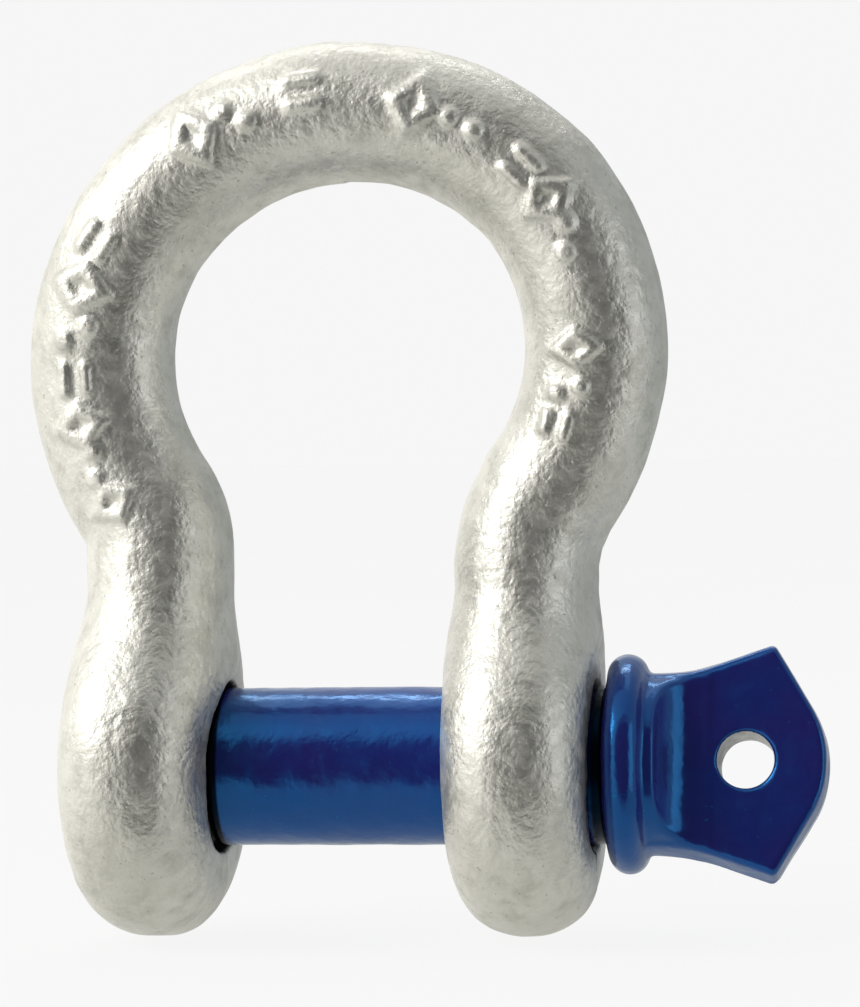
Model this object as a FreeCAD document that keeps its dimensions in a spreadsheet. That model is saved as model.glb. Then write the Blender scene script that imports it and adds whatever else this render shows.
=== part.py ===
import FreeCAD, Part
import math
import os

import Sketcher

# A screw-pin bow shackle, in millimetres.  X runs along the pin's axis with the pin's head at
# +X, Z runs up to the crown of the bow, and the origin is on the pin's axis midway between the ears.

DRIVING_SIZES = {
    # bow, a round bar forged into an eye at each end
    "pin_diameter": 22.4,
    "inside_width": 31.8,        # between the ears, along the pin
    "inside_length": 71.5,       # from the top of the pin to the crown
    "bow_inside_width": 51.0,    # widest place inside the bow
    "stock_diameter": 19.3,
    "shoulder_radius": 14.0,     # centre line of the bend that turns the bow into the legs
    "neck_width": 20.3,          # leg just above the ear, along the pin
    "neck_depth": 22.0,          # leg just above the ear, across the pin
    "neck_height": 24.0,
    "foot_inset": 0.7,           # ear's thickness less the foot of the leg, buried in the ear
    "foot_depth": 31.0,
    "foot_height": 13.5,
    "ear_diameter": 47.2,
    "ear_thickness": 20.3,
    "ear_rim_radius": 8.5,
    # plain ear's hole and threaded ear's hole
    "hole_clearance": 0.8,       # radial, pin in the plain ear
    "hole_chamfer": 0.8,
    "counterbore_depth": 2.6,    # pin's shank runs this far into the threaded ear
    "countersink_depth": 2.35,   # at the threaded ear's outer face
    # screw thread, nine turns to the inch
    "thread_pitch": 2.822,
    "thread_undersize": 0.15,    # crest of the pin's thread, radially under the shank
    "thread_gap": 0.14,          # between the pin's thread and the ear's, along the axis
    "thread_tip_gap": 0.2,       # between a crest and the root that faces it
    "flank_angle": 30.0,
    "thread_relief": 1.6,        # plain undercut between shank and thread
    # screw pin
    "backed_off": 1.3,           # the collar's distance from the ear as the pin stands
    "shank_entry": 0.5,          # the shank's end inside the threaded ear as the pin stands
    "shank_chamfer": 0.6,
    "tip_inset": 0.4,            # the pin's tip inside the ear's outer face as the pin stands
    "collar_width": 4.2,         # collar's radius less the shank's
    "collar_thickness": 6.5,
    "collar_rim_radius": 2.6,
    "neck_radius": 12.6,
    "tab_thickness": 9.5,
    "tab_draft": 12.0,
    "tab_flare_start": 4.5,      # past the collar
    "tab_corner": 17.6,          # past the collar
    "tab_corner_height": 16.5,
    "tab_end_radius": 15.0,
    "tab_length": 25.0,          # past the collar
    "tab_tilt": 13.0,            # turn of the tab about the pin's axis as the pin stands
    "tab_hole_diameter": 8.7,
    "tab_hole_edge": 11.4,       # from the tab's tip to the hole's centre
    "scoop_start": 0.6,          # past the collar
    "scoop_radius": 7.85,        # hollow between the round neck and the flat of the tab
    "overrun": 1.0,              # how far a cutting outline runs past the face that it opens
}

DERIVED_SIZES = {
    "pin_radius": "pin_diameter / 2",
    "crown_radius": "(bow_inside_width + stock_diameter) / 2",
    "crown_centre": "inside_length + pin_radius + stock_diameter / 2 - crown_radius",
    "ear_centre": "(inside_width + ear_thickness) / 2",
    "ear_inner": "inside_width / 2",
    "ear_outer": "inside_width / 2 + ear_thickness",
    "shoulder_angle": "acos(1 - (crown_radius - ear_centre) / (crown_radius + shoulder_radius)) / 1 deg",
    "leg_top": "crown_centre - (crown_radius + shoulder_radius) * sin(shoulder_angle)",
    "crown_sweep": "180 + 2 * shoulder_angle",
    "hole_radius": "pin_radius + hole_clearance",
    "foot_width": "ear_thickness - foot_inset",
    "thread_depth": "0.6 * thread_pitch",
    "thread_crest_flat": "thread_pitch / 8",
    "thread_radius": "pin_radius - thread_undersize",
    "thread_root": "thread_radius - thread_depth",
    "tip_chamfer": "thread_depth + thread_tip_gap",
    "counterbore_end": "ear_inner + counterbore_depth",
    "nut_crest": "thread_root + thread_tip_gap",
    "nut_root": "thread_radius + thread_tip_gap",
    "countersink_radius": "nut_crest + countersink_depth",
    "thread_start": "ear_outer + thread_pitch / 2",
    "nut_thread_length": "thread_start - counterbore_end + thread_pitch / 2",
    "nut_half_out": "thread_crest_flat / 2 + thread_gap - thread_tip_gap * tan(flank_angle)",
    "nut_half_in": "nut_half_out + (nut_root - thread_root) * tan(flank_angle)",
    "pin_half_in": "(thread_radius - thread_root + thread_tip_gap) * tan(flank_angle)"
                   " + thread_crest_flat / 2",
    "collar_radius": "pin_radius + collar_width",
    "collar_seat": "ear_outer + backed_off",
    "collar_top": "collar_seat + collar_thickness",
    "shank_end": "ear_inner + shank_entry",
    "pin_tip": "ear_outer - tip_inset",
    "pin_thread_start": "thread_start - thread_pitch",
    "pin_thread_length": "pin_thread_start - shank_end - thread_relief - pin_half_in",
    "tab_tip": "collar_top + tab_length",
    "tab_hole_centre": "tab_tip - tab_hole_edge",
    "tab_end_centre": "tab_tip - tab_end_radius",
    "tab_corner_run": "collar_top + tab_corner - tab_end_centre",
    "tab_corner_reach": "sqrt(tab_corner_run * tab_corner_run + tab_corner_height * tab_corner_height)",
    "tab_arc_angle": "(atan(tab_corner_height / tab_corner_run)"
                     " - acos(tab_end_radius / tab_corner_reach)) / 1 deg",
    "tab_arc_start": "tab_end_centre + tab_end_radius * cos(tab_arc_angle)",
    "tab_arc_height": "tab_end_radius * sin(tab_arc_angle)",
    "scoop_centre": "collar_top + scoop_start + scoop_radius",
}


def make_sheet(doc):
    """Put every size in a spreadsheet, each cell under its own alias."""
    sheet = doc.addObject("Spreadsheet::Sheet", "Sizes")
    rows = [(alias, str(value)) for alias, value in DRIVING_SIZES.items()]
    rows += [(alias, "=" + formula) for alias, formula in DERIVED_SIZES.items()]
    for row, (alias, content) in enumerate(rows, start=1):
        sheet.set(f"A{row}", alias)
        sheet.set(f"B{row}", content)
        sheet.setAlias(f"B{row}", alias)
    doc.recompute()


def bound(formula):
    """Prefix every alias in a formula with the sheet's name."""
    words = formula.replace("(", " ( ").replace(")", " ) ").split()
    aliases = set(DRIVING_SIZES) | set(DERIVED_SIZES)
    return " ".join(f"Sizes.{word}" if word in aliases else word for word in words)


class Profile:
    """A sketch on one of a body's origin planes, with its dimensions bound to the sheet."""

    def __init__(self, body, name, plane, offset=None):
        self.sketch = body.newObject("Sketcher::SketchObject", name)
        self.sketch.AttachmentSupport = [(origin_feature(body, plane), "")]
        self.sketch.MapMode = "FlatFace"
        for axis, formula in (offset or {}).items():
            self.sketch.setExpression(f"AttachmentOffset.Base.{axis}", bound(formula))

    def value(self, formula):
        result = self.sketch.evalExpression(bound(formula))
        return float(getattr(result, "Value", result))

    def bind(self, kind, *where, formula):
        """Add one dimension that follows a formula of the sheet's sizes."""
        index = self.sketch.addConstraint(
            Sketcher.Constraint(kind, *where, self.value(formula)))
        self.sketch.renameConstraint(index, f"size{index}")
        self.sketch.setExpression(f"Constraints.size{index}", bound(formula))

    def place(self, geometry, point, across, along):
        """Fix a point of the sketch at two formulas, or on an axis where one is 0."""
        for kind, axis, formula in (("DistanceX", -2, across), ("DistanceY", -1, along)):
            if formula == "0":
                self.sketch.addConstraint(
                    Sketcher.Constraint("PointOnObject", geometry, point, axis))
            else:
                self.bind(kind, -1, 1, geometry, point, formula=formula)

    def circle(self, across, along, radius):
        centre = FreeCAD.Vector(self.value(across), self.value(along), 0)
        upright = FreeCAD.Vector(0, 0, 1)
        index = self.sketch.addGeometry(Part.Circle(centre, upright, self.value(radius)), False)
        self.place(index, 3, across, along)
        self.bind("Radius", index, formula=radius)

    def ellipse(self, across, width, depth):
        """An ellipse centred on the sketch's X axis, with its long axis along Y."""
        centre = FreeCAD.Vector(self.value(across), 0, 0)
        deepest = centre + FreeCAD.Vector(0, self.value(depth) / 2, 0)
        widest = centre + FreeCAD.Vector(self.value(width) / 2, 0, 0)
        index = self.sketch.addGeometry(Part.Ellipse(deepest, widest, centre), False)
        self.sketch.exposeInternalGeometry(index)
        long_axis = index + 1
        short_axis = index + 2
        self.place(index, 3, across, "0")
        self.sketch.addConstraint(Sketcher.Constraint("Vertical", long_axis))
        self.bind("Distance", long_axis, formula=depth)
        self.bind("Distance", short_axis, formula=width)

    def outline(self, corners):
        """A closed outline.  A corner is (x, y), and the edge that leaves it is straight, or
        (x, y, radius, turn), and the edge is an arc that turns left for 1 or right for -1."""
        places = [FreeCAD.Vector(self.value(c[0]), self.value(c[1]), 0) for c in corners]
        edges = []
        for number, corner in enumerate(corners):
            start = places[number]
            end = places[(number + 1) % len(corners)]
            if len(corner) == 2:
                edge = Part.LineSegment(start, end)
            else:
                edge = arc_between(start, end, self.value(corner[2]), corner[3])
            edges.append(self.sketch.addGeometry(edge, False))
        for number, corner in enumerate(corners):
            is_right_arc = len(corner) == 4 and corner[3] < 0
            first_point, last_point = (2, 1) if is_right_arc else (1, 2)
            after = (number + 1) % len(corners)
            after_is_right_arc = len(corners[after]) == 4 and corners[after][3] < 0
            self.sketch.addConstraint(Sketcher.Constraint(
                "Coincident", edges[number], last_point,
                edges[after], 2 if after_is_right_arc else 1))
            self.place(edges[number], first_point, corner[0], corner[1])
            if len(corner) == 4:
                self.bind("Radius", edges[number], formula=corner[2])


def arc_between(start, end, radius, turn):
    """The short arc of a given radius from start to end."""
    chord = end - start
    left = FreeCAD.Vector(-chord.y, chord.x, 0).normalize()
    rise = math.sqrt(max(radius ** 2 - chord.Length ** 2 / 4, 0))
    centre = (start + end) / 2 + left * rise * turn
    ends = (start, end) if turn > 0 else (end, start)
    angles = [math.atan2(p.y - centre.y, p.x - centre.x) for p in ends]
    if angles[1] < angles[0]:
        angles[1] += 2 * math.pi
    circle = Part.Circle(centre, FreeCAD.Vector(0, 0, 1), radius)
    return Part.ArcOfCircle(circle, *angles)


def make_body(doc, label):
    body = doc.addObject("PartDesign::Body", label)
    body.Label = label
    return body


def origin_feature(body, role):
    return next(item for item in body.Origin.OriginFeatures if item.Role == role)


def revolve(body, kind, profile, axis, angle=None):
    """Turn a sketch about one of its own axes, as material or as a cut."""
    feature = body.newObject(f"PartDesign::{kind}", f"{profile.sketch.Name}_{kind}")
    feature.Profile = profile.sketch
    feature.ReferenceAxis = (profile.sketch, [axis])
    if angle:
        feature.setExpression("Angle", bound(angle))
    else:
        feature.Angle = 360.0
    profile.sketch.Visibility = False
    return feature


def make_bow(doc):
    """The forged bow: crown, two shoulders, two legs and two eyes, then the eyes' holes."""
    body = make_body(doc, "bow_body")

    bar = Profile(body, "crown_bar", "YZ_Plane", {"y": "crown_centre"})
    bar.circle("0", "crown_radius", "stock_diameter / 2")
    crown = revolve(body, "Revolution", bar, "H_Axis", "crown_sweep")
    crown.Midplane = True

    bend = Profile(body, "shoulder_bar", "XY_Plane",
                   {"x": "ear_centre + shoulder_radius", "z": "leg_top"})
    bend.circle("-1 * shoulder_radius", "0", "stock_diameter / 2")
    shoulder = revolve(body, "Revolution", bend, "V_Axis", "shoulder_angle")

    top = Profile(body, "leg_top_section", "XY_Plane", {"z": "leg_top"})
    top.circle("ear_centre", "0", "stock_diameter / 2")
    middle = Profile(body, "leg_neck_section", "XY_Plane", {"z": "neck_height"})
    middle.ellipse("ear_centre", "neck_width", "neck_depth")
    foot = Profile(body, "leg_foot_section", "XY_Plane", {"z": "foot_height"})
    foot.ellipse("ear_centre", "foot_width", "foot_depth")
    leg = body.newObject("PartDesign::AdditiveLoft", "leg")
    leg.Profile = top.sketch
    leg.Sections = [middle.sketch, foot.sketch]

    rim = "ear_rim_radius"
    eye = Profile(body, "ear_section", "XZ_Plane")
    eye.outline([
        ("ear_inner", "0"),
        ("ear_inner", "ear_diameter / 2 - ear_rim_radius", rim, -1),
        ("ear_inner + ear_rim_radius", "ear_diameter / 2"),
        ("ear_outer - ear_rim_radius", "ear_diameter / 2", rim, -1),
        ("ear_outer", "ear_diameter / 2 - ear_rim_radius"),
        ("ear_outer", "0"),
    ])
    ear = revolve(body, "Revolution", eye, "H_Axis")

    pair = body.newObject("PartDesign::Mirrored", "left_side")
    pair.Originals = [shoulder, leg, ear]
    pair.MirrorPlane = (origin_feature(body, "YZ_Plane"), [""])
    body.Tip = pair

    plain = Profile(body, "plain_hole", "XZ_Plane")
    plain.outline([
        ("ear_inner - overrun", "0"),
        ("ear_inner - overrun", "hole_radius + hole_chamfer + overrun"),
        ("ear_inner + hole_chamfer", "hole_radius"),
        ("ear_outer - hole_chamfer", "hole_radius"),
        ("ear_outer + overrun", "hole_radius + hole_chamfer + overrun"),
        ("ear_outer + overrun", "0"),
    ])
    revolve(body, "Groove", plain, "H_Axis")

    tapped = Profile(body, "tapped_hole", "XZ_Plane")
    tapped.outline([
        ("-1 * ear_outer - overrun", "0"),
        ("-1 * ear_outer - overrun", "countersink_radius + overrun"),
        ("-1 * ear_outer + countersink_radius - nut_crest", "nut_crest"),
        ("-1 * counterbore_end", "nut_crest"),
        ("-1 * counterbore_end", "hole_radius"),
        ("-1 * ear_inner - hole_chamfer", "hole_radius"),
        ("-1 * ear_inner + overrun", "hole_radius + hole_chamfer + overrun"),
        ("-1 * ear_inner + overrun", "0"),
    ])
    revolve(body, "Groove", tapped, "H_Axis")

    groove = Profile(body, "nut_thread_section", "XZ_Plane")
    groove.outline(thread_section(
        "-1 * thread_start", "thread_root", "nut_root", "nut_half_in", "nut_half_out"))
    thread(body, "SubtractiveHelix", groove, "nut_thread_length")
    return body


def thread_section(middle, inner, outer, half_inner, half_outer):
    """A thread's tooth, widest next to the pin's axis."""
    return [
        (f"{middle} - {half_inner}", inner),
        (f"{middle} - {half_outer}", outer),
        (f"{middle} + {half_outer}", outer),
        (f"{middle} + {half_inner}", inner),
    ]


def thread(body, kind, profile, length):
    """Wind a tooth along +X as a right-hand thread."""
    helix = body.newObject(f"PartDesign::{kind}", f"{profile.sketch.Name}_helix")
    helix.Profile = profile.sketch
    helix.ReferenceAxis = (profile.sketch, ["H_Axis"])
    helix.Mode = "pitch-height-angle"
    helix.setExpression("Pitch", bound("thread_pitch"))
    helix.setExpression("Height", bound(length))
    helix.LeftHanded = False
    helix.Reversed = False
    return helix


def make_shank(doc):
    """The pin's plain shank, from the threaded ear to the collar."""
    body = make_body(doc, "pin_shank")
    side = Profile(body, "shank_section", "XZ_Plane")
    side.outline([
        ("-1 * shank_end", "0"),
        ("-1 * shank_end", "pin_radius - shank_chamfer"),
        ("-1 * shank_end + shank_chamfer", "pin_radius"),
        ("collar_seat", "pin_radius"),
        ("collar_seat", "0"),
    ])
    revolve(body, "Revolution", side, "H_Axis")
    return body


def make_thread(doc):
    """The pin's threaded end, with an undercut next to the shank."""
    body = make_body(doc, "pin_thread")
    core = Profile(body, "thread_core", "XZ_Plane")
    core.outline([
        ("-1 * pin_tip", "0"),
        ("-1 * pin_tip", "thread_root"),
        ("-1 * shank_end", "thread_root"),
        ("-1 * shank_end", "0"),
    ])
    revolve(body, "Revolution", core, "H_Axis")
    tooth = Profile(body, "pin_thread_section", "XZ_Plane")
    tooth.outline(thread_section(
        "-1 * pin_thread_start", "thread_root - thread_tip_gap", "thread_radius",
        "pin_half_in", "thread_crest_flat / 2"))
    thread(body, "AdditiveHelix", tooth, "pin_thread_length")
    tip = Profile(body, "tip_chamfer_section", "XZ_Plane")
    tip.outline([
        ("-1 * pin_tip - thread_pitch", "thread_radius - tip_chamfer"),
        ("-1 * pin_tip", "thread_radius - tip_chamfer"),
        ("-1 * pin_tip + tip_chamfer", "thread_radius"),
        ("-1 * pin_tip + tip_chamfer", "thread_radius + overrun"),
        ("-1 * pin_tip - thread_pitch", "thread_radius + overrun"),
    ])
    revolve(body, "Groove", tip, "H_Axis")
    return body


def make_head(doc):
    """The pin's head: a round collar, a short round neck and a flared tab with a hole."""
    body = make_body(doc, "pin_head")
    rim = "collar_rim_radius"
    side = Profile(body, "collar_section", "XZ_Plane")
    side.outline([
        ("collar_seat", "0"),
        ("collar_seat", "collar_radius - collar_rim_radius", rim, -1),
        ("collar_seat + collar_rim_radius", "collar_radius"),
        ("collar_top - collar_rim_radius", "collar_radius", rim, -1),
        ("collar_top", "collar_radius - collar_rim_radius"),
        ("collar_top", "neck_radius"),
        ("scoop_centre", "neck_radius"),
        ("scoop_centre", "0"),
    ])
    revolve(body, "Revolution", side, "H_Axis")

    plate = Profile(body, "tab_outline", "XZ_Plane")
    plate.outline([
        ("collar_top", "-1 * neck_radius"),
        ("collar_top + tab_flare_start", "-1 * neck_radius"),
        ("collar_top + tab_corner", "-1 * tab_corner_height"),
        ("tab_arc_start", "-1 * tab_arc_height", "tab_end_radius", 1),
        ("tab_arc_start", "tab_arc_height"),
        ("collar_top + tab_corner", "tab_corner_height"),
        ("collar_top + tab_flare_start", "neck_radius"),
        ("collar_top", "neck_radius"),
    ])
    tab = body.newObject("PartDesign::Pad", "tab")
    tab.Profile = plate.sketch
    tab.SideType = "Two sides"
    tab.setExpression("Length", bound("tab_thickness / 2"))
    tab.setExpression("Length2", bound("tab_thickness / 2"))
    tab.setExpression("TaperAngle", bound("-1 * tab_draft"))
    tab.setExpression("TaperAngle2", bound("-1 * tab_draft"))

    hollows = Profile(body, "scoops", "XY_Plane")
    for side_of_tab, turn in (("1", -1), ("-1", 1)):
        face = f"{side_of_tab} * tab_thickness / 2"
        outside = f"{side_of_tab} * (tab_thickness / 2 + scoop_radius + overrun)"
        hollows.outline([
            ("scoop_centre", face, "scoop_radius", turn),
            ("scoop_centre - scoop_radius", f"{side_of_tab} * (tab_thickness / 2 + scoop_radius)"),
            ("scoop_centre - scoop_radius", outside),
            ("scoop_centre + overrun", outside),
            ("scoop_centre + overrun", face),
        ])
    cut_through(body, hollows, "tab_scoops")

    hole = Profile(body, "tab_hole_section", "XZ_Plane")
    hole.circle("tab_hole_centre", "0", "tab_hole_diameter / 2")
    cut_through(body, hole, "tab_hole")
    body.Placement = FreeCAD.Placement(
        FreeCAD.Vector(), FreeCAD.Rotation(FreeCAD.Vector(1, 0, 0), -1))
    body.setExpression("Placement.Rotation.Angle", bound("-1 * tab_tilt"))
    return body


def cut_through(body, profile, name):
    """Cut a sketch right through the body, both ways."""
    pocket = body.newObject("PartDesign::Pocket", name)
    pocket.Profile = profile.sketch
    pocket.Type = "ThroughAll"
    pocket.SideType = "Symmetric"
    return pocket


def check(doc, bodies):
    """Stop if any feature failed or any body isn't one sound solid."""
    for item in doc.Objects:
        if "Invalid" in item.State or "Error" in item.State:
            raise RuntimeError(f"{item.Name} failed: {item.State}")
    for body in bodies:
        shape = body.Shape
        if shape.isNull() or not shape.isValid() or len(shape.Solids) != 1:
            raise RuntimeError(f"{body.Label} isn't one valid solid")


def main():
    doc = FreeCAD.newDocument("bow_shackle")
    make_sheet(doc)
    bodies = [make_bow(doc), make_shank(doc), make_thread(doc), make_head(doc)]
    doc.recompute()
    check(doc, bodies)
    os.makedirs("parts", exist_ok=True)
    for body in bodies:
        body.Shape.exportStep(f"parts/{body.Label}.step")
        box = body.Shape.optimalBoundingBox(False, False)
        print(f"{body.Label}: {body.Shape.Volume:.0f} mm3, "
              f"X {box.XMin:.2f}..{box.XMax:.2f}, Y {box.YMin:.2f}..{box.YMax:.2f}, "
              f"Z {box.ZMin:.2f}..{box.ZMax:.2f}")


main()
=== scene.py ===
"""A bow shackle with a screw pin: a galvanised forging and a blue painted pin."""
import math

import bpy
import numpy as np
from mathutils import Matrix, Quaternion, Vector


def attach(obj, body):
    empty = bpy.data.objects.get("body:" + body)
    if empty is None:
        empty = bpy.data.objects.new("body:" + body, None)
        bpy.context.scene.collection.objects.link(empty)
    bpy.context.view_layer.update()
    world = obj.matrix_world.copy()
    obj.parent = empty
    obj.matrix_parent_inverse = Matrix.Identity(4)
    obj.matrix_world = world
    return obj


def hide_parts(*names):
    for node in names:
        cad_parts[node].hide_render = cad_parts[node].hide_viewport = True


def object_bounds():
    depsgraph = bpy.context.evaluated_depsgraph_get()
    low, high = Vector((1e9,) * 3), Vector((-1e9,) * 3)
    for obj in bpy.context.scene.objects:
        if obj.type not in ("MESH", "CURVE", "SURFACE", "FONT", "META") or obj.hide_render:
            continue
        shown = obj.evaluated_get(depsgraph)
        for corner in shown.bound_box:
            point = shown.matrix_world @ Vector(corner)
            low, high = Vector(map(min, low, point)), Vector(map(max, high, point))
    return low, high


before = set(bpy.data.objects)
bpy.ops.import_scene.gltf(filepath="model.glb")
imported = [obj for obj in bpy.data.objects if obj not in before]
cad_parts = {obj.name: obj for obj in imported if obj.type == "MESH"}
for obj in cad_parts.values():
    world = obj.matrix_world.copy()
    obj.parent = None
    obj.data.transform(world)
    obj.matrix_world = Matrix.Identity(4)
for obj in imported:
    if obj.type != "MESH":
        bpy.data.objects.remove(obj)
CAD_LOW, CAD_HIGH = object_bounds()

# Sizes are in millimetres and angles in degrees until a mesh is made. The pin's axis is X.
MM = 0.001

# the bow's centre line, in the plane of the bow
CROWN_X = 1.4                 # the crown leans a little towards the pin's head
CROWN_Z = 57.2
CROWN_RADIUS = 35.2
EAR_X = 26.05
BEND_RADIUS = {-1: 12.6, 1: 11.5}
PATH_STEP = 0.3
# how far the centre line stands outside its circle, by angle round the crown
SWELL_ANGLE = (-62, -52, -46, -40, -34, 0, 40, 85, 125, 165, 240)
SWELL = (0.0, 0.45, 0.2, -0.6, -1.2, 0.0, 1.15, -0.1, -0.45, 0.1, 0.0)

# half the bar's section, along the pin and across it, by height
SECTION_Z = (0.0, 12.0, 20.0, 28.0, 34.0, 42.0, 57.0, 92.0)
SECTION_ALONG = {-1: (9.7, 9.7, 10.05, 10.3, 10.3, 10.3, 10.25, 9.75),
                 1: (9.7, 9.7, 9.9, 10.0, 9.97, 9.9, 9.8, 9.6)}
SECTION_ACROSS = (15.6, 15.6, 14.4, 12.5, 11.2, 10.1, 9.9, 9.7)
SOFTEN_STEPS = 25             # steps of the path over which the section's changes are spread

# ears
EAR_RADIUS = 23.9
EAR_THICKNESS = {-1: 20.0, 1: 19.9}
EAR_SHIFT = {-1: -1.3, 1: -0.15}
EAR_RIM = 9.3
EAR_BLEND = 5.0
EAR_TWIST = {-1: -2.5, 1: -0.5}
SPOT_FACE_X = 36.15           # the flat on the plain ear that the collar comes down to
SPOT_FACE_RADIUS = 16.0
SPOT_FACE_SLOPE = 0.35        # how fast the flat runs out beyond its radius
SPOT_FACE_FILLET = 1.0
SEAM_HEIGHT = 0.22            # the line that the two forging dies leave
SEAM_WIDTH = 0.9

# holes and thread
PLAIN_HOLE = 12.0
HOLE_ROUNDING = 1.0
COUNTERBORE_END = 20.2
FACE_BULGE = 1.2              # how far the leg's blend lifts the ear's inner face
BORE_CHAMFER = 0.5
BORE_FLARE_LIMIT = 3.0
BORE_FIELD_SCALE = 0.8        # brings the flared bore's field nearer to a distance
THREAD_FIELD_SCALE = 0.6      # and the tapped hole's
THREAD_ROUNDING = 0.25
THREAD_PITCH = 2.822
THREAD_PHASE_X = -34.789      # a tooth's middle on the +Z side
FLANK = math.tan(math.radians(30.0))
NUT_CREST = 9.56
NUT_ROOT = 11.25
NUT_HALF_TOP = 0.2
NUT_MOUTH_X = -36.2           # where the countersink's radius is NUT_CREST + NUT_MOUTH
NUT_MOUTH = 2.35
PIN_CREST = 10.96
PIN_ROOT = 9.36
PIN_HALF_TOP = 0.17
TIP_CHAMFER = 1.87
RELIEF_LENGTH = 1.6           # the groove between thread and shank
RELIEF_RISE = 1.7

# pin
SHANK_RADIUS = 11.2
SHANK_END = -18.2
SHANK_CHAMFER = 0.6
PIN_TIP = -35.8
COLLAR_SEAT = 37.5
COLLAR_FACE = 37.8            # the rim's face, a little further out than the seat
COLLAR_TOP = 43.1
COLLAR_RADIUS = 15.4
COLLAR_RIM = 2.6
NECK_RADIUS = 12.6
TAB_START = 41.0
TAB_FLARE_FILLET = 2.0
TAB_CORNER_ROUNDING = 0.8
TAB_EDGE_ROUNDING = 1.1
TAB_HALF = 4.75
TAB_DRAFT = math.tan(math.radians(12.0))
TIP_DRAFT = math.tan(math.radians(3.0))
TAB_TILT = math.radians(13.0)
TAB_FLARE = (47.8, 12.6)      # where the tab's side begins to flare, as x and height
TAB_CORNER = (61.0, 17.0)     # where the flared side meets the pointed end
TAB_END_X = 53.4
TAB_END_RADIUS = 15.0
TAB_END_ANGLE = math.radians(30.93)
TAB_HOLE_X = 57.0
TAB_HOLE_RADIUS = 4.0
TAB_HOLE_ROUNDING = 0.7
BARE_WALL_DEPTH = 0.12        # how far from the hole's wall the paint begins
BARE_WALL_HALF = 4.2
SCOOP_X = 51.8
SCOOP_RADIUS = 6.8
SCOOP_EDGE = 1.0
SEAT_FILLET = 0.3
NECK_FILLET = 0.9
COLLAR_FILLET = 1.1

# raised marks on the bow: angle round the crown, distance from its centre, shape, turn, scale
MARKS = (
    (211, 37.3, "lozenge", 0, 0.9), (202, 37.4, "dots", 20, 1.0), (193, 37.4, "lozenge", 0, 1.0),
    (183, 37.3, "strokes", 0, 1.0), (173, 37.3, "dots", 60, 1.1), (163, 37.7, "lozenge", 0, 1.1),
    (153, 38.1, "strokes", 10, 1.0),
    (122, 37.3, "lozenge", 0, 1.1), (112, 37.2, "dots", 45, 1.1),
    (96.5, 37.8, "strokes", 0, 1.1),
    (72, 37.2, "lozenge", 0, 1.1), (61, 37.3, "dots", 0, 1.0),
    (45, 37.3, "strokes", 0, 1.0), (36, 37.0, "lozenge", 0, 1.0), (27, 36.4, "dots", 30, 1.1),
    (2, 33.4, "lozenge", 0, 0.9), (-8, 32.6, "dots", 70, 1.0), (-17, 31.9, "strokes", 0, 0.9),
)
MARK_HEIGHT = 0.7
MARK_EDGE = 0.6
MARK_FILLET = 0.8
MARK_LIMIT_EDGE = 0.5         # where the marks end at the bow's middle plane
DOT_SPACING = 1.9
DOT_RADIUS = 1.15
STROKE_HALF = 1.5
STROKE_SPACING = 1.7
STROKE_RADIUS = 0.75
LOZENGE_HALF = (2.3, 3.1)
LOZENGE_FIELD_SCALE = 1.7
LOZENGE_HALF_LINE = 0.72

# meshes: the box that holds each skin, its grid, and lumps as size, height and seed
BOW_BOX = ((-48.0, -25.5, -25.5), (49.0, 25.5, 104.5))
BOW_VOXEL = 0.6
BOW_LUMPS = ((11.0, 0.16, 11), (4.2, 0.07, 12), (1.9, 0.05, 13))
HEAD_BOX = ((36.0, -17.5, -18.5), (71.0, 17.5, 18.5))
HEAD_VOXEL = 0.34
HEAD_LUMPS = ((7.0, 0.12, 21), (2.6, 0.04, 22))
SHANK_LUMPS = ((5.0, 0.06, 31), (1.9, 0.03, 32))
NOISE_OFFSET = 1000.0         # keeps the noise's cells positive
PAINT_WAVE = 0.07             # the shank is drawn in by this, so that its lumps stay in size
SHANK_FACETS = 160
SHANK_STEPS = 130
THREAD_FACETS = 128
THREAD_STEPS = 200

# colours, as linear red, green, blue and opacity
ZINC_DULL = (0.67, 0.655, 0.60, 1)
ZINC_BRIGHT = (0.76, 0.745, 0.69, 1)
ZINC_PATCH = (0.51, 0.505, 0.45, 1)
ZINC_SPECK = (0.26, 0.25, 0.21, 1)
# painted shade for the walls of the ears' holes
BORE_SHADE = (0.04, 0.04, 0.037, 1)
ENAMEL_VIOLET = (0.024, 0.013, 0.150, 1)
ENAMEL_BLUE = (0.016, 0.020, 0.180, 1)
ENAMEL_SPECK = (0.01, 0.10, 0.26, 1)
ENAMEL_WORN = (0.012, 0.012, 0.02, 1)
ENAMEL_SHEEN = (0.0, 0.36, 0.92, 1)
# near black, for painted shade on the enamel where the shank lies in shadow
PAINTED_SHADE = (0.004, 0.004, 0.006, 1)
STEEL_DARK = (0.34, 0.34, 0.33, 1)
STEEL_LIGHT = (0.46, 0.46, 0.45, 1)
STEEL_RUST = (0.20, 0.075, 0.03, 1)
GROUND_DARK = (0.05, 0.05, 0.05, 1)
GROUND_LIGHT = (0.055, 0.055, 0.055, 1)
TENT_SHADE = (0.44, 0.47, 0.48, 1)
TENT_LIT = (1.25, 1.24, 1.20, 1)
TENT_BELOW = (0.74, 0.74, 0.70, 1)
TENT_ABOVE = (0.52, 0.52, 0.50, 1)
TENT_OPENING = (0.06, 0.06, 0.06, 1)
BACKDROP = (0.925, 0.925, 0.925, 1)

# painted shade on the enamel, near the collar and at the shank's end: the stretches over which it
# fades in and out, along the axis and away from it
SHADE_IN = (35.2, 36.4)
SHADE_OUT = (37.9, 38.3)
SHADE_RADIUS = (11.7, 12.4)
SHADE_END = (-16.7, -16.2)

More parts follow.
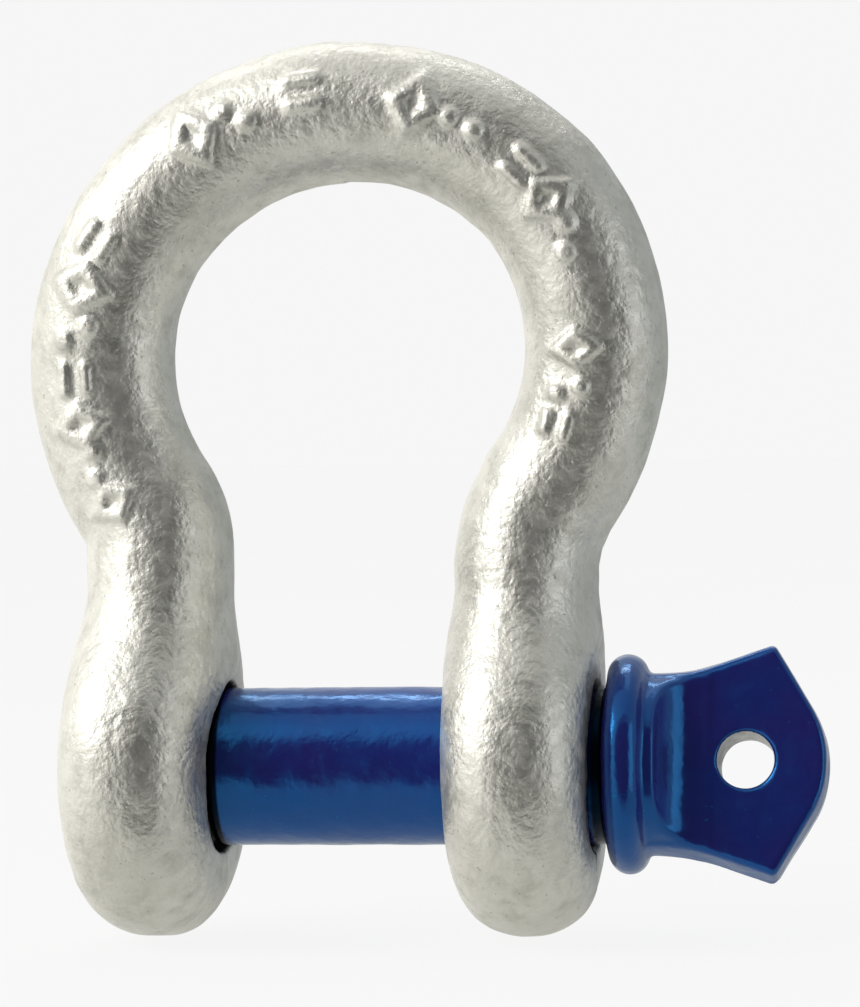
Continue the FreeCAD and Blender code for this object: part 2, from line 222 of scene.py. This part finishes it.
# directions in which the tent is open, is brightest, and has its top and its bottom
OPENING = (0.335, -0.919, 0.208)
BRIGHT_SIDE = (-0.9, 0.0, 0.25)
OVERHEAD = (0.0, 0.25, 1.0)
UNDERFOOT = (0.0, 0.0, -1.0)

# floor
FLOOR_HALF = 4000.0
FLOOR_GAP = 1.0
FLOOR_TILES = 8

# soft boxes: name, place from the object's middle in metres, power, width, height
LIGHTS = (
    ("key", (-0.7, -0.35, 0.55), 4.0, 0.5, 0.5),
    ("top", (0.0, 0.28, 0.8), 0.4, 0.9, 0.3),
    ("strip", (-0.1, 0.5, 0.66), 0.9, 0.7, 0.05),
    ("side", (0.8, -0.25, 0.1), 0.8, 0.4, 0.7),
)

# camera: angles in degrees, distance in metres, lens in millimetres
CAMERA_AZIMUTH = 8.5
CAMERA_ELEVATION = 1.5
CAMERA_ROLL = -1.0
CAMERA_DISTANCE = 0.6
CAMERA_LENS = 152.3
AIM = Vector((0.0007, 0.0, -0.0022))     # from the middle of the object's box, in metres


def smooth_union(a, b, blend):
    """The lesser of two fields, with a fillet between them."""
    share = np.clip(0.5 + 0.5 * (b - a) / blend, 0.0, 1.0)
    return b + (a - b) * share - blend * share * (1.0 - share)


def smooth_common(a, b, blend):
    """The greater of two fields, with a rounded edge between them."""
    return -smooth_union(-a, -b, blend)


def rounded_disc(along, radial, half, radius, rim):
    """A disc with a rounded rim, centred on its axis."""
    a = np.abs(along) - (half - rim)
    r = radial - (radius - rim)
    outside = np.hypot(np.maximum(a, 0.0), np.maximum(r, 0.0))
    return outside + np.minimum(np.maximum(a, r), 0.0) - rim


def noise(points, size, seed):
    """Smooth noise from -1 to 1 whose lumps are about size across."""
    side = 32
    table = np.random.default_rng(seed).uniform(-1.0, 1.0, (side, side, side))
    scaled = points / size + NOISE_OFFSET
    cell = np.floor(scaled).astype(int)
    part = scaled - cell
    part = part * part * (3.0 - 2.0 * part)
    total = np.zeros(len(points))
    for i in (0, 1):
        for j in (0, 1):
            for k in (0, 1):
                corner = (cell + (i, j, k)) % side
                weight = (np.where(i, part[:, 0], 1 - part[:, 0])
                          * np.where(j, part[:, 1], 1 - part[:, 1])
                          * np.where(k, part[:, 2], 1 - part[:, 2]))
                total += weight * table[corner[:, 0], corner[:, 1], corner[:, 2]]
    return total


def skin(field, low, high, voxel):
    """Vertices and quads of the surface where a field is zero, one vertex to a grid cell."""
    counts = [int(math.ceil((b - a) / voxel)) + 1 for a, b in zip(low, high)]
    axes = [a + voxel * np.arange(n) for a, n in zip(low, counts)]
    grid = field(axes[0][:, None, None], axes[1][None, :, None], axes[2][None, None, :])
    inside = grid < 0.0
    ids, crossings, quads = [], [], []
    for axis in range(3):
        across = [(axis + 1) % 3, (axis + 2) % 3]
        step = np.eye(3, dtype=int)[axis]
        near = inside.take(range(counts[axis] - 1), axis=axis)
        far = inside.take(range(1, counts[axis]), axis=axis)
        edges = np.argwhere(near != far)
        start = grid[tuple(edges.T)]
        end = grid[tuple((edges + step).T)]
        crossing = edges + (start / (start - end))[:, None] * step
        ring = []
        for back in ((0, 0), (1, 0), (1, 1), (0, 1)):
            cell = edges.copy()
            cell[:, across[0]] -= back[0]
            cell[:, across[1]] -= back[1]
            ring.append((cell[:, 0] * counts[1] + cell[:, 1]) * counts[2] + cell[:, 2])
        ids += ring
        crossings += [crossing] * 4
        quad = np.stack(ring, axis=1)
        quads.append(np.where((start < 0.0)[:, None], quad, quad[:, ::-1]))
    names, index = np.unique(np.concatenate(ids), return_inverse=True)
    places = np.concatenate(crossings)
    number = np.bincount(index)
    points = np.stack([np.bincount(index, places[:, k]) / number for k in range(3)], axis=1)
    return np.array(low) + voxel * points, np.searchsorted(names, np.concatenate(quads))


def settle(field, points, quads, voxel, rounds=3):
    """Even out a skin's vertices and bring them onto the surface."""
    pairs = np.concatenate([quads[:, [i, (i + 1) % 4]] for i in range(4)])
    number = np.bincount(pairs[:, 0], minlength=len(points))
    reach = 0.1
    least_slope = 0.2
    for turn in range(rounds):
        if turn:
            mean = np.stack([np.bincount(pairs[:, 0], points[pairs[:, 1], k], len(points))
                             / number for k in range(3)], axis=1)
            points = points + 0.5 * (mean - points)
        slope = np.stack([
            (field(*(points + reach * axis).T) - field(*(points - reach * axis).T)) / (2 * reach)
            for axis in np.eye(3)], axis=1)
        value = field(*points.T)
        size = np.maximum((slope ** 2).sum(axis=1), least_slope ** 2)
        move = np.clip(value / np.sqrt(size), -voxel, voxel) / np.sqrt(size)
        points = points - move[:, None] * slope
    return points, slope / np.linalg.norm(slope, axis=1)[:, None]


def soften(values):
    """Values along the bar with their corners smoothed."""
    window = np.hanning(SOFTEN_STEPS + 2)[1:-1]
    padded = np.pad(values, SOFTEN_STEPS // 2, mode="edge")
    return np.convolve(padded, window / window.sum(), mode="valid")


def centre_line():
    """Points along the bow's centre line, and half the bar's section at each."""
    rows = []
    for side in (-1, 1):
        bend = BEND_RADIUS[side]
        reach = EAR_X - side * CROWN_X
        turn = math.acos((reach + bend) / (CROWN_RADIUS + bend))
        leg_top = CROWN_Z - (CROWN_RADIUS + bend) * math.sin(turn)
        height = np.arange(0.0, leg_top, PATH_STEP)
        swing = np.arange(0.0, turn, PATH_STEP / bend)
        sweep = np.arange(-turn, math.pi / 2, PATH_STEP / CROWN_RADIUS)
        out = np.concatenate([np.full(len(height), reach), reach + bend * (1 - np.cos(swing)),
                              CROWN_RADIUS * np.cos(sweep)])
        z = np.concatenate([height, leg_top + bend * np.sin(swing),
                            CROWN_Z + CROWN_RADIUS * np.sin(sweep)])
        angle = np.arctan2(z - CROWN_Z, side * out)
        turned = np.degrees(np.where(angle < -math.pi / 2, angle + 2 * math.pi, angle))
        swell = np.interp(turned, SWELL_ANGLE, SWELL)
        rows.append(np.stack([CROWN_X + side * out + swell * np.cos(angle),
                              z + swell * np.sin(angle),
                              soften(np.interp(z, SECTION_Z, SECTION_ALONG[side])),
                              soften(np.interp(z, SECTION_Z, SECTION_ACROSS))], axis=1))
    return np.concatenate(rows)


PATH = centre_line()


def bar_field(x, y, z):
    """The bent bar, an oval round the nearest point of the centre line."""
    shape = np.broadcast(x, z).shape
    places = np.stack([np.broadcast_to(x, shape).ravel(), np.broadcast_to(z, shape).ravel()], 1)
    nearest = np.empty(len(places), dtype=int)
    batch = 20000
    for start in range(0, len(places), batch):
        part = places[start:start + batch]
        gap = (PATH[:, :2] ** 2).sum(axis=1) - 2.0 * part @ PATH[:, :2].T
        nearest[start:start + batch] = gap.argmin(axis=1)
    away = np.hypot(*(places - PATH[nearest, :2]).T).reshape(shape)
    along = PATH[nearest, 2].reshape(shape)
    across = PATH[nearest, 3].reshape(shape)
    first = np.hypot(away / along, y / across)
    second = np.hypot(away / along ** 2, y / across ** 2)
    return first * (first - 1.0) / np.maximum(second, 1e-6)


def mark_outline(kind, along, across):
    """A raised mark's outline, negative inside: two dots, two strokes or a hollow lozenge."""
    if kind == "dots":
        return np.hypot(np.abs(along) - DOT_SPACING, across) - DOT_RADIUS
    if kind == "strokes":
        past_end = np.maximum(np.abs(along) - STROKE_HALF, 0.0)
        return np.hypot(past_end, np.abs(across) - STROKE_SPACING) - STROKE_RADIUS
    outside = np.abs(along) / LOZENGE_HALF[0] + np.abs(across) / LOZENGE_HALF[1] - 1.0
    return np.abs(outside * LOZENGE_FIELD_SCALE) - LOZENGE_HALF_LINE


def marks_field(x, y, z, bar):
    """The raised marks on the bow's front."""
    angle = np.degrees(np.arctan2(z - CROWN_Z, x - CROWN_X))
    radius = np.hypot(x - CROWN_X, z - CROWN_Z)
    far_away = 50.0
    nearest = np.full(np.broadcast(x, z).shape, far_away)
    for at, distance, kind, turn, scale in MARKS:
        turned = math.radians(turn)
        along = ((angle - at + 180.0) % 360.0 - 180.0) * math.radians(CROWN_RADIUS)
        across = radius - distance
        u = (math.cos(turned) * along + math.sin(turned) * across) / scale
        v = (math.cos(turned) * across - math.sin(turned) * along) / scale
        nearest = np.minimum(nearest, mark_outline(kind, u, v) * scale)
    raised = smooth_common(nearest, bar - MARK_HEIGHT, MARK_EDGE)
    return smooth_common(raised, y, MARK_LIMIT_EDGE)


def thread_distance(x, y, z):
    """Distance along the axis from the middle of the nearest turn of the thread."""
    turns = (x - THREAD_PHASE_X) / THREAD_PITCH - (np.arctan2(z, y) - math.pi / 2) / (2 * math.pi)
    return np.abs(turns - np.round(turns)) * THREAD_PITCH


def bow_field(x, y, z):
    """The whole bow: bar, marks, ears, parting line, spot face, holes and tapped thread."""
    bar = bar_field(x, y, z)
    body = smooth_union(bar, marks_field(x, y, z, bar), MARK_FILLET)
    radial = np.hypot(y, z)
    for side in (-1, 1):
        twist = math.radians(EAR_TWIST[side])
        from_ear = x - side * EAR_X - EAR_SHIFT[side]
        along = math.cos(twist) * from_ear + math.sin(twist) * y
        sideways = math.cos(twist) * y - math.sin(twist) * from_ear
        ear = rounded_disc(along, np.hypot(sideways, z), EAR_THICKNESS[side] / 2, EAR_RADIUS, EAR_RIM)
        body = smooth_union(body, ear, EAR_BLEND)
    body = body - SEAM_HEIGHT * np.exp(-(y / SEAM_WIDTH) ** 2)
    run_out = SPOT_FACE_SLOPE * np.maximum(radial - SPOT_FACE_RADIUS, 0.0)
    body = smooth_common(body, x - SPOT_FACE_X - run_out, SPOT_FACE_FILLET)
    plain = smooth_common(radial - PLAIN_HOLE, -x, HOLE_ROUNDING)
    body = smooth_common(body, -plain, HOLE_ROUNDING)
    inner_face = EAR_THICKNESS[-1] / 2 - EAR_X + EAR_SHIFT[-1]
    flare = np.clip(x - inner_face - FACE_BULGE + BORE_CHAMFER, 0.0, BORE_FLARE_LIMIT)
    bore = np.maximum((radial - PLAIN_HOLE - flare) * BORE_FIELD_SCALE,
                      np.maximum(-x - COUNTERBORE_END, x))
    body = smooth_common(body, -bore, HOLE_ROUNDING)
    tooth = (thread_distance(x, y, z) - NUT_HALF_TOP) / FLANK
    wall = np.clip(NUT_ROOT - tooth, NUT_CREST, NUT_ROOT)
    mouth = np.maximum(wall, NUT_CREST + NUT_MOUTH - (x - NUT_MOUTH_X))
    tapped = np.maximum((radial - mouth) * THREAD_FIELD_SCALE, x + COUNTERBORE_END - 0.5)
    return smooth_common(body, -tapped, THREAD_ROUNDING)


def tab_field(x, y, z):
    """The flat tab on the pin's head, with its sides drafted both ways from the middle."""
    height = np.abs(z)
    run, rise = TAB_CORNER[0] - TAB_FLARE[0], TAB_CORNER[1] - TAB_FLARE[1]
    flare = ((height - TAB_FLARE[1]) * run - (x - TAB_FLARE[0]) * rise) / math.hypot(run, rise)
    side = smooth_union(height - TAB_FLARE[1], flare, TAB_FLARE_FILLET)
    from_end = x - TAB_END_X
    slope = from_end * math.cos(TAB_END_ANGLE) + height * math.sin(TAB_END_ANGLE)
    round_end = np.hypot(from_end, height)
    tip = np.where(np.arctan2(height, from_end) < TAB_END_ANGLE, round_end, slope)
    outline = smooth_common(side + np.abs(y) * TAB_DRAFT,
                            tip - TAB_END_RADIUS + np.abs(y) * TIP_DRAFT,
                            TAB_CORNER_ROUNDING)
    outline = np.maximum(outline, TAB_START - x)
    return smooth_common(outline, np.abs(y) - TAB_HALF, TAB_EDGE_ROUNDING)


def head_field(x, y, z):
    """Collar, neck, tab, scoops and hole."""
    level = math.cos(TAB_TILT) * y - math.sin(TAB_TILT) * z
    height = math.sin(TAB_TILT) * y + math.cos(TAB_TILT) * z
    radial = np.hypot(y, z)
    middle = (COLLAR_FACE + COLLAR_TOP) / 2
    collar = rounded_disc(x - middle, radial, (COLLAR_TOP - COLLAR_FACE) / 2,
                          COLLAR_RADIUS, COLLAR_RIM)
    root = np.maximum(np.maximum(radial - SHANK_RADIUS, COLLAR_SEAT - x), x - middle)
    collar = smooth_union(collar, root, SEAT_FILLET)
    scoop = SCOOP_RADIUS - np.hypot(x - SCOOP_X, np.abs(level) - TAB_HALF - SCOOP_RADIUS)
    neck = smooth_common(radial - NECK_RADIUS, scoop, SCOOP_EDGE)
    neck = np.maximum(np.maximum(neck, x - SCOOP_X), middle - x)
    body = smooth_union(neck, tab_field(x, level, height), NECK_FILLET)
    body = smooth_union(body, collar, COLLAR_FILLET)
    hole = np.hypot(x - TAB_HOLE_X, height) - TAB_HOLE_RADIUS
    return smooth_common(body, -hole, TAB_HOLE_ROUNDING)


def mesh_object(name, points, faces, smooth=True):
    """A mesh object from millimetre vertices and faces of three or four corners."""
    data = bpy.data.meshes.new(name)
    data.from_pydata((points * MM).tolist(), [], [list(f) for f in faces])
    data.polygons.foreach_set("use_smooth", [smooth] * len(data.polygons))
    data.validate()
    data.update()
    piece = bpy.data.objects.new(name, data)
    bpy.context.scene.collection.objects.link(piece)
    return piece


def lumps_at(points, lumps):
    """Height of the shallow lumps at each point."""
    height = np.zeros(len(points))
    for size, amount, seed in lumps:
        height += amount * noise(points, size, seed)
    return height


def forged_skin(field, low, high, voxel, lumps):
    """A skin of a field, its outward directions, and the height of its lumps."""
    points, quads = skin(field, low, high, voxel)
    points, out = settle(field, points, quads, voxel)
    return points, quads, out, lumps_at(points, lumps)


def make_bow():
    """The galvanised forging."""
    points, quads, out, height = forged_skin(bow_field, *BOW_BOX, BOW_VOXEL, BOW_LUMPS)
    bored = np.hypot(points[:, 1], points[:, 2]) < PLAIN_HOLE + 0.2
    points = points + out * np.where(bored, 0.0, height)[:, None]
    return mesh_object("bow_forging", points, quads)


def make_head():
    """The pin's collar and tab."""
    points, quads, out, height = forged_skin(head_field, *HEAD_BOX, HEAD_VOXEL, HEAD_LUMPS)
    points = points + out * height[:, None]
    return mesh_object("pin_head_forging", points, quads)


def bare_hole_wall(piece):
    """Give the wall of the tab's hole, which the paint didn't reach, the second material."""
    for face in piece.data.polygons:
        x, y, z = np.array(face.center) / MM
        level = math.cos(TAB_TILT) * y - math.sin(TAB_TILT) * z
        height = math.sin(TAB_TILT) * y + math.cos(TAB_TILT) * z
        from_hole = math.hypot(x - TAB_HOLE_X, height)
        if from_hole < TAB_HOLE_RADIUS + BARE_WALL_DEPTH and abs(level) < BARE_WALL_HALF:
            face.material_index = 1


def turned_piece(name, stations, radius_at, around):
    """A closed round bar along X whose radius depends on the place and the angle."""
    angle = np.arange(around) * 2 * math.pi / around
    x, a = np.meshgrid(stations, angle, indexing="ij")
    r = radius_at(x, a)
    rows = np.stack([x, r * np.cos(a), r * np.sin(a)], axis=-1).reshape(-1, 3)
    ends = np.array([[stations[0], 0, 0], [stations[-1], 0, 0]])
    points = np.concatenate([rows, ends])
    count = len(stations)
    faces = []
    for i in range(count - 1):
        for j in range(around):
            k = (j + 1) % around
            this, following = i * around, (i + 1) * around
            faces.append((this + j, this + k, following + k, following + j))
    for j in range(around):
        k = (j + 1) % around
        faces.append((len(rows), k, j))
        faces.append((len(rows) + 1, (count - 1) * around + j, (count - 1) * around + k))
    return mesh_object(name, points, faces)


def make_shank():
    """The pin's painted shank."""
    stations = np.concatenate([[SHANK_END, SHANK_END + 0.1, SHANK_END + 0.3, SHANK_END + 0.6],
                               np.linspace(SHANK_END + 1.2, COLLAR_SEAT, SHANK_STEPS)])

    def radius_at(x, a):
        y = SHANK_RADIUS * np.cos(a)
        z = SHANK_RADIUS * np.sin(a)
        lumps = lumps_at(np.stack([x, y, z], axis=-1).reshape(-1, 3), SHANK_LUMPS)
        chamfer = np.clip(x - SHANK_END, 0.0, SHANK_CHAMFER) - SHANK_CHAMFER
        return SHANK_RADIUS - PAINT_WAVE + lumps.reshape(x.shape) + chamfer

    return turned_piece("pin_shank_bar", stations, radius_at, SHANK_FACETS)


def make_thread():
    """The pin's threaded end."""
    stations = np.linspace(PIN_TIP, SHANK_END, THREAD_STEPS)

    def radius_at(x, a):
        tooth = (thread_distance(x, np.cos(a), np.sin(a)) - PIN_HALF_TOP) / FLANK
        turned = np.clip(PIN_CREST - tooth, PIN_ROOT, PIN_CREST)
        tip = PIN_CREST - TIP_CHAMFER + (x - PIN_TIP)
        relief = PIN_ROOT + np.clip(SHANK_END - RELIEF_LENGTH - x, 0.0, 1.0) * RELIEF_RISE
        return np.minimum(np.minimum(turned, tip), relief)

    return turned_piece("pin_thread_cut", stations, radius_at, THREAD_FACETS)


class Shader:
    """A small helper that adds nodes and links to one tree of shader nodes."""

    def __init__(self, tree):
        self.tree = tree

    def node(self, kind, **values):
        """A new node with some of its properties set."""
        made = self.tree.nodes.new(kind)
        for key, value in values.items():
            setattr(made, key, value)
        return made

    def link(self, source, target):
        """A link from an output to an input."""
        self.tree.links.new(source, target)

    def place(self):
        """The point being shaded, in the object's own metres."""
        return self.node("ShaderNodeTexCoord").outputs["Object"]

    def coordinates(self):
        """The X, Y and Z of the point being shaded."""
        parts = self.node("ShaderNodeSeparateXYZ")
        self.link(self.place(), parts.inputs[0])
        return parts

    def along_axis(self):
        """Distance along the pin's axis, which is the object's own X axis."""
        return self.coordinates().outputs["X"]

    def from_axis(self):
        """Distance from the pin's axis."""
        parts = self.coordinates()
        flat = self.node("ShaderNodeCombineXYZ")
        self.link(parts.outputs["Y"], flat.inputs["Y"])
        self.link(parts.outputs["Z"], flat.inputs["Z"])
        length = self.node("ShaderNodeVectorMath", operation="LENGTH")
        self.link(flat.outputs[0], length.inputs[0])
        return length.outputs["Value"]

    def noise(self, scale, detail=4.0, rough=0.55, warp=0.0):
        """Fractal noise with scale features to the metre."""
        made = self.node("ShaderNodeTexNoise")
        made.inputs["Scale"].default_value = scale
        made.inputs["Detail"].default_value = detail
        made.inputs["Roughness"].default_value = rough
        made.inputs["Distortion"].default_value = warp
        self.link(self.place(), made.inputs["Vector"])
        return made.outputs["Fac"]

    def cells(self, scale):
        """Distance from the nearest of many scattered points."""
        made = self.node("ShaderNodeTexVoronoi", feature="F1")
        made.inputs["Scale"].default_value = scale
        self.link(self.place(), made.inputs["Vector"])
        return made.outputs["Distance"]

    def spread(self, source, low, high, to_low, to_high):
        """A smooth step from to_low to to_high as the source goes from low to high."""
        made = self.node("ShaderNodeMapRange", interpolation_type="SMOOTHSTEP")
        made.inputs["From Min"].default_value = low
        made.inputs["From Max"].default_value = high
        made.inputs["To Min"].default_value = to_low
        made.inputs["To Max"].default_value = to_high
        self.link(source, made.inputs["Value"])
        return made.outputs["Result"]

    def combine(self, operation, first, second):
        """Two values put through a mathematical operation."""
        made = self.node("ShaderNodeMath", operation=operation)
        self.link(first, made.inputs[0])
        self.link(second, made.inputs[1])
        return made.outputs[0]

    def mix(self, share, first, second):
        """A blend of two colours, each a socket or a value."""
        made = self.node("ShaderNodeMix", data_type="RGBA")
        for socket, value in ((made.inputs[0], share), (made.inputs[6], first),
                              (made.inputs[7], second)):
            if isinstance(value, (float, tuple)):
                socket.default_value = value
            else:
                self.link(value, socket)
        return made.outputs[2]

    def bump(self, height, strength, distance, under=None):
        """A normal disturbed by a height, on top of another normal if one is given."""
        made = self.node("ShaderNodeBump")
        made.inputs["Strength"].default_value = strength
        made.inputs["Distance"].default_value = distance
        self.link(height, made.inputs["Height"])
        if under is not None:
            self.link(under, made.inputs["Normal"])
        return made.outputs["Normal"]


def new_material(name):
    """An empty material with a surface shader and a helper for its nodes."""
    material = bpy.data.materials.new(name)
    material.use_nodes = True
    shader = Shader(material.node_tree)
    surface = material.node_tree.nodes["Principled BSDF"]
    return material, shader, surface


def galvanised_steel():
    """Hot-dip zinc on a forged skin: matt silver with soft mottling, ripples and small pits."""
    material, s, surface = new_material("galvanised_steel")
    broad = s.spread(s.noise(60.0, 4.0), 0.3, 0.7, 0.0, 1.0)
    patch = s.spread(s.noise(260.0, 5.0, 0.65), 0.42, 0.75, 0.0, 0.75)
    speck = s.spread(s.noise(1500.0, 2.0), 0.66, 0.74, 0.0, 0.5)
    colour = s.mix(broad, ZINC_DULL, ZINC_BRIGHT)
    colour = s.mix(patch, colour, ZINC_PATCH)
    colour = s.mix(speck, colour, ZINC_SPECK)
    # painted shade: the walls of the holes are darkened nearly to black, mostly for the shade inside
    # them and partly for the darker bare steel there
    wall = (PLAIN_HOLE + 0.1) * MM
    bore = s.spread(s.from_axis(), wall, wall + 0.4 * MM, 0.95, 0.0)
    colour = s.mix(bore, colour, BORE_SHADE)
    s.link(colour, surface.inputs["Base Color"])
    surface.inputs["Metallic"].default_value = 0.88
    s.link(s.spread(s.noise(500.0, 5.0, 0.6), 0.3, 0.7, 0.38, 0.52), surface.inputs["Roughness"])
    hammered = s.bump(s.noise(420.0, 2.0, 0.5), 0.35, 0.0004)
    ripples = s.bump(s.noise(1000.0, 2.0, 0.5), 0.62, 0.0003, hammered)
    pits = s.bump(s.spread(s.cells(700.0), 0.0, 0.2, 0.0, 1.0), 0.25, 0.00015, ripples)
    s.link(pits, surface.inputs["Normal"])
    return material


def blue_paint():
    """Thick glossy enamel with sags, specks and worn spots, with painted shade at both ends of the
    shank.
    """
    material, s, surface = new_material("blue_enamel")
    broad = s.spread(s.noise(110.0, 4.0), 0.3, 0.7, 0.0, 1.0)
    colour = s.mix(broad, ENAMEL_VIOLET, ENAMEL_BLUE)
    speck = s.spread(s.noise(900.0, 2.0), 0.70, 0.76, 0.0, 0.5)
    colour = s.mix(speck, colour, ENAMEL_SPECK)
    worn = s.spread(s.noise(380.0, 5.0, 0.7), 0.72, 0.735, 0.0, 0.8)
    colour = s.mix(worn, colour, ENAMEL_WORN)
    x = s.along_axis()
    # painted shade: under the collar and at the shank's end by the ear, the enamel is made near black
    # and its reflections and coat are turned down
    before_collar = s.spread(x, SHADE_IN[0] * MM, SHADE_IN[1] * MM, 0.0, 1.0)
    short_of_tab = s.spread(x, SHADE_OUT[0] * MM, SHADE_OUT[1] * MM, 1.0, 0.0)
    under_rim = s.spread(s.from_axis(), SHADE_RADIUS[0] * MM, SHADE_RADIUS[1] * MM, 1.0, 0.0)
    root = s.combine("MULTIPLY", s.combine("MULTIPLY", before_collar, short_of_tab), under_rim)
    shank_end = s.spread(x, SHADE_END[0] * MM, SHADE_END[1] * MM, 1.0, 0.0)
    painted_shade = s.combine("MAXIMUM", root, shank_end)
    colour = s.mix(painted_shade, colour, PAINTED_SHADE)
    s.link(colour, surface.inputs["Base Color"])
    surface.inputs["Metallic"].default_value = 0.0
    surface.inputs["IOR"].default_value = 1.85
    s.link(s.spread(painted_shade, 0.0, 1.0, 1.0, 0.08), surface.inputs["Specular IOR Level"])
    surface.inputs["Specular Tint"].default_value = ENAMEL_SHEEN
    s.link(s.spread(s.noise(500.0, 4.0), 0.3, 0.7, 0.14, 0.26), surface.inputs["Roughness"])
    s.link(s.spread(painted_shade, 0.0, 1.0, 0.14, 0.0), surface.inputs["Coat Weight"])
    surface.inputs["Coat Roughness"].default_value = 0.05
    surface.inputs["Coat IOR"].default_value = 1.5
    sags = s.bump(s.noise(230.0, 3.0, 0.5, 0.3), 0.35, 0.0005)
    orange_peel = s.bump(s.noise(1300.0, 2.0), 0.2, 0.00012, sags)
    s.link(orange_peel, surface.inputs["Normal"])
    s.link(orange_peel, surface.inputs["Coat Normal"])
    return material


def bare_steel():
    """Cut thread and drilled wall: grey, a little uneven and a little rusty."""
    material, s, surface = new_material("bare_steel")
    broad = s.spread(s.noise(200.0, 4.0), 0.35, 0.65, 0.0, 1.0)
    colour = s.mix(broad, STEEL_DARK, STEEL_LIGHT)
    rust = s.spread(s.noise(330.0, 5.0, 0.7), 0.62, 0.70, 0.0, 0.8)
    colour = s.mix(rust, colour, STEEL_RUST)
    s.link(colour, surface.inputs["Base Color"])
    surface.inputs["Metallic"].default_value = 0.8
    s.link(s.spread(s.noise(900.0, 4.0), 0.3, 0.7, 0.3, 0.5), surface.inputs["Roughness"])
    s.link(s.bump(s.noise(1600.0, 3.0), 0.4, 0.0002), surface.inputs["Normal"])
    return material


def pale_ground():
    """The plain pale floor, which glows like a light table."""
    material, s, surface = new_material("pale_ground")
    broad = s.spread(s.noise(3.0, 2.0), 0.3, 0.7, 0.0, 1.0)
    tone = s.mix(broad, GROUND_DARK, GROUND_LIGHT)
    s.link(tone, surface.inputs["Base Color"])
    surface.inputs["Roughness"].default_value = 1.0
    surface.inputs["Specular IOR Level"].default_value = 0.0
    surface.inputs["Emission Color"].default_value = (1.0, 1.0, 1.0, 1)
    surface.inputs["Emission Strength"].default_value = 0.885
    return material


def make_floor():
    """A wide pale floor under the ears, which reflections and bounced light ignore."""
    row = FLOOR_TILES + 1
    across = np.linspace(-FLOOR_HALF, FLOOR_HALF, row)
    x, y = np.meshgrid(across, across, indexing="ij")
    z = np.full(x.shape, CAD_LOW.z / MM - FLOOR_GAP)
    points = np.stack([x, y, z], axis=-1).reshape(-1, 3)
    corners = [row * i + j for i in range(FLOOR_TILES) for j in range(FLOOR_TILES)]
    faces = [(k, k + row, k + row + 1, k + 1) for k in corners]
    floor = mesh_object("floor", points, faces, smooth=False)
    floor.data.materials.append(pale_ground())
    floor.visible_glossy = False
    floor.visible_diffuse = False


def make_world():
    """A white tent, brightest on the left, that is open and so dark towards the viewer's side."""
    world = bpy.data.worlds.new("tent")
    bpy.context.scene.world = world
    world.use_nodes = True
    s = Shader(world.node_tree)
    background = world.node_tree.nodes["Background"]
    direction = s.node("ShaderNodeTexCoord").outputs["Generated"]

    def facing(towards):
        """How nearly a ray points a given way, from -1 to 1."""
        dot = s.node("ShaderNodeVectorMath", operation="DOT_PRODUCT")
        dot.inputs[1].default_value = Vector(towards).normalized()
        s.link(direction, dot.inputs[0])
        return dot.outputs["Value"]

    opening = s.spread(facing(OPENING), 0.62, 0.80, 0.0, 1.0)
    lit = s.spread(facing(BRIGHT_SIDE), -0.5, 0.7, 0.0, 1.0)
    tent = s.mix(lit, TENT_SHADE, TENT_LIT)
    below = s.spread(facing(UNDERFOOT), 0.1, 0.7, 0.0, 0.85)
    tent = s.mix(below, tent, TENT_BELOW)
    above = s.spread(facing(OVERHEAD), 0.55, 0.95, 0.0, 0.7)
    tent = s.mix(above, tent, TENT_ABOVE)
    seen = s.mix(opening, tent, TENT_OPENING)
    camera_ray = s.node("ShaderNodeLightPath").outputs["Is Camera Ray"]
    s.link(s.mix(camera_ray, seen, BACKDROP), background.inputs["Color"])
    background.inputs["Strength"].default_value = 1.0


def make_light(name, place, target, power, width, height):
    """A rectangular soft box aimed at a point."""
    data = bpy.data.lights.new(name, "AREA")
    data.shape = "RECTANGLE"
    data.size = width
    data.size_y = height
    data.energy = power
    light = bpy.data.objects.new(name, data)
    light.location = place
    light.rotation_mode = "QUATERNION"
    light.rotation_quaternion = (target - place).to_track_quat("-Z", "Y")
    bpy.context.scene.collection.objects.link(light)


def make_camera(middle):
    """A long lens in front of the bow, a little towards the pin's head."""
    data = bpy.data.cameras.new("camera")
    data.lens = CAMERA_LENS
    data.clip_start = 0.01
    data.clip_end = 50.0
    camera = bpy.data.objects.new("camera", data)
    a, e = math.radians(CAMERA_AZIMUTH), math.radians(CAMERA_ELEVATION)
    back = Vector((math.sin(a) * math.cos(e), -math.cos(a) * math.cos(e), math.sin(e)))
    camera.location = middle + AIM + CAMERA_DISTANCE * back
    camera.rotation_mode = "QUATERNION"
    roll = Quaternion((0.0, 0.0, 1.0), math.radians(CAMERA_ROLL))
    camera.rotation_quaternion = (-back).to_track_quat("-Z", "Y") @ roll
    bpy.context.scene.collection.objects.link(camera)
    bpy.context.scene.camera = camera


bpy.context.scene.view_settings.view_transform = "Standard"
zinc, enamel, steel = galvanised_steel(), blue_paint(), bare_steel()

bow = make_bow()
bow.data.materials.append(zinc)
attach(bow, "bow")
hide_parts("bow_body")

head = make_head()
head.data.materials.append(enamel)
head.data.materials.append(steel)
bare_hole_wall(head)
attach(head, "pin")
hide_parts("pin_head")

shank = make_shank()
shank.data.materials.append(enamel)
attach(shank, "pin_carrier")
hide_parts("pin_shank")

thread = make_thread()
thread.data.materials.append(steel)
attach(thread, "pin")
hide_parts("pin_thread")

make_floor()
make_world()
middle = (CAD_LOW + CAD_HIGH) / 2
for light_name, offset, power, width, height in LIGHTS:
    make_light(light_name, middle + Vector(offset), middle, power, width, height)
make_camera(middle)
